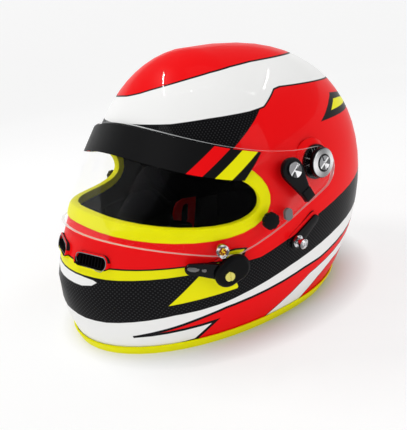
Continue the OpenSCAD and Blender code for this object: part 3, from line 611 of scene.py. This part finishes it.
# the yellow spots in the amber middle are painted glints, and the ring's dark and bright patches are a painted
# reflection
glints = ((stud.noise(1.6, 1) - 0.48) * 8).within()
amber = stud.mix(glints, (0.16, 0.006, 0.01), (0.8, 0.55, 0.03))
ring_painted_reflection = stud.mix(((stud.noise(3, 0) - 0.45) * 8).within(), (0.12, 0.12, 0.125), (0.75, 0.75, 0.76))
stud.wire("Base Color", stud.mix(over(AMBER_RADIUS - from_centre), ring_painted_reflection, amber))
stud.wire("Roughness", stud.noise(3) * 0.15 + 0.12)
dress(stud, "catch_stud")

plated = Look("plated_screw", (0.72, 0.66, 0.16), 0.3, metallic=0.8)
plated.wire("Roughness", plated.noise(3) * 0.2 + 0.2)
dress(plated, "latch_screw")
print("dressed the metal hardware")

# %% [markdown]
# ## The visor
#
# Clear plastic is hardly seen face on: what shows is a faint mirror of the room, stronger towards the edges, and
# the sawn rim, which catches the light. So the faces are a mirror with little cover, set by the Fresnel node, and
# the rim is a second material on the narrow faces between the two sides.

# %% Visor
RIM_EDGE = math.radians(55)  # an edge is sharp from here on
RIM_WIDTH, RIM_AREA = 3.2, 60  # the most that a rim face measures, in mm and in square mm


def rim_faces(mesh):
    """The faces along the border of a thin sheet, which are short across its thickness and have a sharp edge."""
    work = bmesh.new()
    work.from_mesh(mesh)
    bmesh.ops.remove_doubles(work, verts=work.verts, dist=WELD_MM * MM)
    work.faces.ensure_lookup_table()
    found = []
    if len(work.faces) == len(mesh.polygons):
        for face in work.faces:
            sharp = [e for e in face.edges if len(e.link_faces) == 2 and e.calc_face_angle(0) > RIM_EDGE]
            short = min(e.calc_length() for e in face.edges) < RIM_WIDTH * MM
            if sharp and short and face.calc_area() < RIM_AREA * MM * MM:
                found.append(face.index)
    work.free()
    return found


clear = Look("visor_clear", (0.95, 0.96, 0.97), 0.02, metallic=1)
sheen = clear.node("ShaderNodeFresnel", None, {"IOR": 1.45})
clear.wire("Alpha", sheen * (clear.noise(30) * 0.03 + 0.025))
# the rim's pale, half covering colour is a painted highlight along the sawn edge
rim_painted_highlight = Look("visor_rim", (0.85, 0.87, 0.88), 0.25, metallic=0.2)
rim_painted_highlight.wire("Alpha", rim_painted_highlight.noise(12) * 0.3 + 0.5)
dress(clear, "visor")
nodes["visor"].data.materials.append(rim_painted_highlight.material)
rim = rim_faces(nodes["visor"].data)
for index in rim:
    nodes["visor"].data.polygons[index].material_index = 1
print("rim faces of the visor:", len(rim), "of", len(nodes["visor"].data.polygons))

# %% [markdown]
# ## Intake edges
#
# A thin bare metal edge frames each intake on the chin. It is a wire laid on the shell: each point of an outline just
# outside the intake is drawn to the nearest place on the shell, and a ring of points is swept along those places.


# %% Wires on the shell
def built(name, points, faces, look, smooth_faces=True, body="helmet"):
    """A new piece that moves with a body, from points in metres."""
    mesh = bpy.data.meshes.new(name)
    mesh.from_pydata([tuple(p) for p in points], [], faces)
    work = bmesh.new()
    work.from_mesh(mesh)
    bmesh.ops.recalc_face_normals(work, faces=work.faces)
    work.to_mesh(mesh)
    work.free()
    for face in mesh.polygons:
        face.use_smooth = smooth_faces
    thing = bpy.data.objects.new(name, mesh)
    bpy.context.scene.collection.objects.link(thing)
    dress(look, thing)
    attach(thing, body)
    return thing


def wire_loop(path, radius_mm, sides=8):
    """The points and faces of a closed wire along a path."""
    count = len(path)
    points, faces = [], []
    for i, place in enumerate(path):
        ahead = (path[(i + 1) % count] - path[i - 1]).normalized()
        aside = ahead.cross(Vector((0, 0, 1))).normalized()
        above = aside.cross(ahead)
        for k in range(sides):
            turn_by = 2 * math.pi * k / sides
            points.append(place + (aside * math.cos(turn_by) + above * math.sin(turn_by)) * radius_mm * MM)
        for k in range(sides):
            a, b = i * sides, (i + 1) % count * sides
            faces.append((a + k, a + (k + 1) % sides, b + (k + 1) % sides, b + k))
    return points, faces


edge_metal = Look("bare_metal_edge", (0.3, 0.3, 0.31), 0.3, metallic=1)
edge_metal.wire("Roughness", edge_metal.noise(6) * 0.2 + 0.2)
shell_tree = BVHTree.FromPolygons(
    [v.co for v in nodes["outer_shell"].data.vertices],
    [tuple(face.vertices) for face in nodes["outer_shell"].data.polygons],
)
EDGE_HALF_WIDTH, EDGE_HALF_HEIGHT, EDGE_POINTS = 18.6, 4.6, 60
EDGE_RADIUS, EDGE_LIFT, EDGE_PROBE = 0.36, 0.2, 4  # the wire's, its height over the shell, and where the search starts
LONG_SIDE_SPEED = 4  # the higher, the fewer points of the outline lie on its two long sides
CHIN_MIDDLE_Y = 0.09  # in metres; an intake faces away from here
for side_name in SIDES:
    low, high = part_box(f"vent_insert_{side_name}")
    middle = (low + high) / 2
    outward = Vector((middle.x, middle.y - CHIN_MIDDLE_Y, 0)).normalized()
    sideways = outward.cross(Vector((0, 0, 1))).normalized()
    outline = []
    for i in range(EDGE_POINTS):
        swing = 2 * math.pi * i / EDGE_POINTS
        straight = math.copysign(EDGE_HALF_WIDTH - EDGE_HALF_HEIGHT, math.cos(swing))
        along = straight * min(1, abs(math.cos(swing)) * LONG_SIDE_SPEED)
        across_slot = Vector((along + EDGE_HALF_HEIGHT * math.cos(swing), EDGE_HALF_HEIGHT * math.sin(swing))) * MM
        probe = middle + outward * EDGE_PROBE * MM + sideways * across_slot.x + Vector((0, 0, across_slot.y))
        outline.append(shell_tree.find_nearest(probe)[0] + outward * EDGE_LIFT * MM)
    points, faces = wire_loop(outline, EDGE_RADIUS)
    edge = built(f"intake_edge_{side_name}", points, faces, edge_metal)
    print(edge.name, len(points), "points, at most", round(max((p - middle).length for p in outline) / MM, 1), "mm out")

# %% [markdown]
# ## Latch facets
#
# The latch arm is moulded with cut facets that flash in the light. Each one is a low stud with an eight-sided foot
# and a smaller, tilted top, laid on the arm. The arm's own direction comes from its joint and its farthest point.

# %% Latch facets
FACET_SIDES, FACET_REACH = 8, 8  # sides of a facet, and how many millimetres of the arm on either side give its height
FACET_SINK, FACET_FOOT = 0.3, 0.2  # how deep it sits in the arm, and how high its foot is
FACET_SHIFT = 0.7  # how far it lies above the middle line of the arm
FACET_TOP, FACET_TILT = 0.55, 0.25  # the top's size as a share of the foot's, and how much its upper side is raised
latch_joint = next(joint for joint in frame["joints"] if joint["name"] == "latch_arm_turn")
latch_pivot, latch_axis = Vector(latch_joint["pos_m"]), Vector(latch_joint["axis"]).normalized()
arm_points = [v.co - latch_pivot for v in nodes["latch_lever"].data.vertices]
tip = max(arm_points, key=lambda p: p.length)
along_arm = (tip - latch_axis * tip.dot(latch_axis)).normalized()
across_arm = latch_axis.cross(along_arm)
if across_arm.z < 0:
    across_arm = -across_arm
facet_look = Look("polished_black_facets", (0.01, 0.01, 0.011), 0.12, coat=1.0, specular=1.0)
facet_look.wire("Roughness", facet_look.noise(4) * 0.12 + 0.06)
for name, middle_mm, half_long, half_wide, high, lean_up in (
    ("latch_facet_tip", 29.5, 5.4, 2.4, 1.3, 0.9),
    ("latch_facet_middle", 20.2, 2.6, 1.9, 1.0, 0.6),
):
    near = [p.dot(latch_axis) for p in arm_points if abs(p.dot(along_arm) / MM - middle_mm) < FACET_REACH]
    base = max(near) - FACET_SINK * MM
    points = []
    for share, lift, shift in ((1, 0, 0), (FACET_TOP, high, lean_up)):
        for i in range(FACET_SIDES):
            swing = 2 * math.pi * (i + 0.5) / FACET_SIDES
            u = middle_mm + half_long * share * math.cos(swing)
            w = half_wide * share * math.sin(swing) + shift + FACET_SHIFT
            rise_mm = lift * (1 + FACET_TILT * math.sin(swing)) + FACET_FOOT * share
            points.append(latch_pivot + (along_arm * u + across_arm * w) * MM + latch_axis * (base + rise_mm * MM))
    faces = [tuple(range(FACET_SIDES)), tuple(range(FACET_SIDES, 2 * FACET_SIDES))]
    for i in range(FACET_SIDES):
        j = (i + 1) % FACET_SIDES
        faces.append((i, j, FACET_SIDES + j, FACET_SIDES + i))
    facet = built(name, points, faces, facet_look, smooth_faces=False, body="latch_arm")
    top = max((p - latch_pivot).dot(latch_axis) for p in points)
    print(facet.name, "stands", round((top - max(near)) / MM, 1), "mm over the arm at its highest")

# %% [markdown]
# ## The liner
#
# Behind the cloth there is moulded foam of fused beads, matt black. The beads are the cells of a Voronoi pattern.

# %% Foam
BEADS_PER_METRE = 330
foam = Look("liner_foam", (0.003, 0.003, 0.004), 0.9, specular=0.04)
on_foam = foam.node("ShaderNodeTexCoord", output="Object")
beads = foam.node("ShaderNodeTexVoronoi", None, {"Vector": on_foam, "Scale": BEADS_PER_METRE})
foam.relief(beads, 0.3, 0.5)
foam.wire("Base Color", foam.mix(foam.noise(30), (0.002, 0.002, 0.003), (0.005, 0.005, 0.006)))
dress(foam, "impact_liner", "chin_liner")

# %% [markdown]
# ## Padding
#
# Each pad is a sewn cloth cover over soft foam. The CAD solid gives its space. A copy is shrunk a little, meshed
# again with even faces and blown up like a balloon by the cloth simulation, with its back pinned to the wall, and
# no point may move further than the cap. Seams are pressed in afterwards.

# %% Cushion maker
BACK_FACES_OUT = 0.4  # a point whose normal leans outward by more than this is pinned to the wall
CLOTH_FRAMES = 20


def settled(thing):
    """Replaces an object's mesh by what its modifiers make of it."""
    bpy.context.view_layer.update()
    mesh = bpy.data.meshes.new_from_object(thing.evaluated_get(bpy.context.evaluated_depsgraph_get()))
    thing.modifiers.clear()
    old, thing.data = thing.data, mesh
    bpy.data.meshes.remove(old)
    return thing


def copied(name, new_name):
    thing = bpy.data.objects.new(new_name, nodes[name].data.copy())
    thing.data.materials.clear()
    bpy.context.scene.collection.objects.link(thing)
    thing.modifiers.new("weld", "WELD").merge_threshold = WELD_MM * MM
    return settled(thing)


def cushion(name, body, seams, voxel_mm=4.5, shrink_mm=1.6, cap_mm=3.0):
    """A blown-up cover in place of a pad. A seam is its distance from a point, its depth and its width."""
    piece = copied(name, name + "_cushion")
    remesh = piece.modifiers.new("remesh", "REMESH")
    remesh.mode, remesh.voxel_size = "VOXEL", voxel_mm * MM
    settled(piece)
    start = [v.co - v.normal * shrink_mm * MM for v in piece.data.vertices]
    for vertex, place in zip(piece.data.vertices, start):
        vertex.co = place
    pinned = piece.vertex_groups.new(name="pinned")
    for vertex in piece.data.vertices:
        outward = Vector((vertex.co.x, vertex.co.y, 0)).normalized()
        if vertex.normal.dot(outward) > BACK_FACES_OUT:
            pinned.add([vertex.index], 1, "REPLACE")
    cloth = piece.modifiers.new("cloth", "CLOTH")
    cloth.settings.use_pressure = True
    cloth.settings.uniform_pressure_force = 4
    cloth.settings.effector_weights.gravity = 0
    cloth.settings.vertex_group_mass = "pinned"
    cloth.settings.quality = 4
    for step in range(1, CLOTH_FRAMES + 1):
        bpy.context.scene.frame_set(step)
    settled(piece)
    bpy.context.scene.frame_set(1)
    for vertex, place in zip(piece.data.vertices, start):
        moved = vertex.co - place
        if moved.length > cap_mm * MM:
            vertex.co = place + moved.normalized() * cap_mm * MM
    subdivide = piece.modifiers.new("subdivide", "SUBSURF")
    subdivide.levels = subdivide.render_levels = 1
    settled(piece)
    # all normals are read before a point moves, because each read after a move works them all out again
    normals = [v.normal.copy() for v in piece.data.vertices]
    for vertex, normal in zip(piece.data.vertices, normals):
        depth = sum(press * math.exp(-((along(vertex.co / MM) / width) ** 2)) for along, press, width in seams)
        vertex.co -= normal * depth * MM
    for face in piece.data.polygons:
        face.use_smooth = True
    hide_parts(name)
    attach(piece, body)
    return piece


cloth_look = Look("pad_cloth", (0.004, 0.004, 0.005), 0.95, specular=0.04)
cloth_look.shader.inputs["Sheen Weight"].default_value = 0.01
x, y, z = cloth_look.place()
knit = (x * 4.2 + y * 4.2).math("SINE") * (z * 5.5).math("SINE")
cloth_look.relief(knit * 0.5 + cloth_look.noise(0.8) * 0.5, 0.15, 0.6)
cloth_look.wire("Base Color", cloth_look.mix(cloth_look.noise(10), (0.003, 0.003, 0.004), (0.007, 0.007, 0.008)))

# %% Cushions
CHEEK_MIDDLE, CHEEK_SEAM_Z, CHEEK_DEGREE_MM = 84, 62, 1.6  # degrees round, millimetres up, and mm to a degree there
NECK_DEGREE_MM = 1.9
CROWN_SEAM_X, CROWN_SEAM_Y, NO_SEAM_HERE = 26, 12, 99


def round_the_head(co):
    return math.degrees(math.atan2(abs(co.x), -co.y))


cheek_seams = [
    (lambda co: (round_the_head(co) - CHEEK_MIDDLE) * CHEEK_DEGREE_MM, 2.0, 2.6),
    (lambda co: co.z - CHEEK_SEAM_Z - 0.2 * (round_the_head(co) - CHEEK_MIDDLE), 1.6, 2.6),
]
for side_name in SIDES:
    pad = cushion(f"cheek_pad_{side_name}", "helmet", cheek_seams)
    dress(cloth_look, pad)
    print(pad.name, len(pad.data.vertices), "points")

neck_seams = [(lambda co, a=a: (round_the_head(co) - a) * NECK_DEGREE_MM, 1.8, 2.4) for a in (150, 180)]
neck = cushion("neck_roll", "helmet", neck_seams, voxel_mm=4, shrink_mm=1.2, cap_mm=2.0)
dress(cloth_look, neck)
crown_seams = [
    (lambda co: co.x - CROWN_SEAM_X, 1.5, 2.2),
    (lambda co: co.x + CROWN_SEAM_X, 1.5, 2.2),
    (lambda co: co.y - CROWN_SEAM_Y if abs(co.x) < CROWN_SEAM_X else NO_SEAM_HERE, 1.5, 2.2),
]
crown_cushion = cushion("crown_pad", "helmet", crown_seams, voxel_mm=4, shrink_mm=0.6, cap_mm=1.6)
dress(cloth_look, crown_cushion)
print(neck.name, len(neck.data.vertices), "points;", crown_cushion.name, len(crown_cushion.data.vertices), "points")

# %% [markdown]
# ## Pull tab
#
# A dark red webbing tab with a slot stands inside the wearer's right cheek pad, and is tucked in below it. It is a
# flat ring of faces between an outer outline and the slot's outline, given a thickness and a soft edge.

# %% Red tab
TAB_X, TAB_THICK = -79, 2.4
outer_line = [(-3, 44), (-1, 57), (2, 64), (6, 69), (15, 71.2), (34, 68.2), (31.5, 58), (29, 47.8), (26, 37), (22, 26),
              (-4, 26), (-5, 36)]
slot_line = [(8, 44.8), (9.6, 52), (11.4, 58), (13.6, 62.8), (17.5, 64.6), (22.7, 63.9), (22, 58), (20.3, 51),
             (18.4, 44.6), (15.5, 42.6), (12.4, 42.2), (9.6, 43)]
count = len(outer_line)
tab_points = [
    Vector((x_mm, y_mm, z_mm)) * MM
    for x_mm in (TAB_X, TAB_X - TAB_THICK)
    for y_mm, z_mm in (*outer_line, *slot_line)
]
tab_faces = []
for i in range(count):
    j = (i + 1) % count
    tab_faces.append((i, j, count + j, count + i))
    tab_faces.append((2 * count + i, 3 * count + i, 3 * count + j, 2 * count + j))
    tab_faces.append((i, 2 * count + i, 2 * count + j, j))
    tab_faces.append((count + i, count + j, 3 * count + j, 3 * count + i))
red_cloth = Look("dark_red_webbing", (0.4, 0.006, 0.006), 0.8, specular=0.1)
_, y, z = red_cloth.place()
red_cloth.relief((z * 4).math("SINE") * (y * 3).math("SINE"), 0.15, 0.6)
red_cloth.wire("Base Color", red_cloth.mix(red_cloth.noise(4), (0.35, 0.005, 0.005), (0.5, 0.008, 0.008)))
tab = built("pull_tab", tab_points, tab_faces, red_cloth, smooth_faces=False)
soft_edge = tab.modifiers.new("soft_edge", "BEVEL")
soft_edge.width, soft_edge.segments = 0.4 * MM, 2
settled(tab)
print(tab.name, len(tab.data.vertices), "points")

# %% [markdown]
# ## Chin strap
#
# Webbing is woven flat, so the cloth recipe would erase it. The strap's solid is copied, its edges are rounded,
# and the weave is a relief of fine ribs that cross the strap.

# %% Webbing
webbing = Look("webbing", (0.01, 0.01, 0.011), 0.75, specular=0.25)
x, y, z = webbing.place()
ribs = ((y + x * 0.3) * 3.1).math("SINE") * ((z - x * 0.4) * 2.6).math("SINE")
webbing.relief(ribs, 0.25, 0.8)
webbing.wire("Base Color", webbing.mix(ribs * 0.5 + 0.5, (0.005, 0.005, 0.006), (0.02, 0.02, 0.022)))
for side_name in SIDES:
    strap = copied(f"chin_strap_{side_name}", f"webbing_{side_name}")
    rounding = strap.modifiers.new("rounding", "BEVEL")
    rounding.width, rounding.segments = 0.5 * MM, 2
    rounding.limit_method, rounding.angle_limit = "ANGLE", CORNER
    settled(strap)
    for face in strap.data.polygons:
        face.use_smooth = True
    strap.modifiers.new("split", "EDGE_SPLIT").split_angle = CORNER
    settled(strap)
    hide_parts(f"chin_strap_{side_name}")
    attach(strap, "helmet")
    dress(webbing, strap)
    print(strap.name, len(strap.data.vertices), "points")
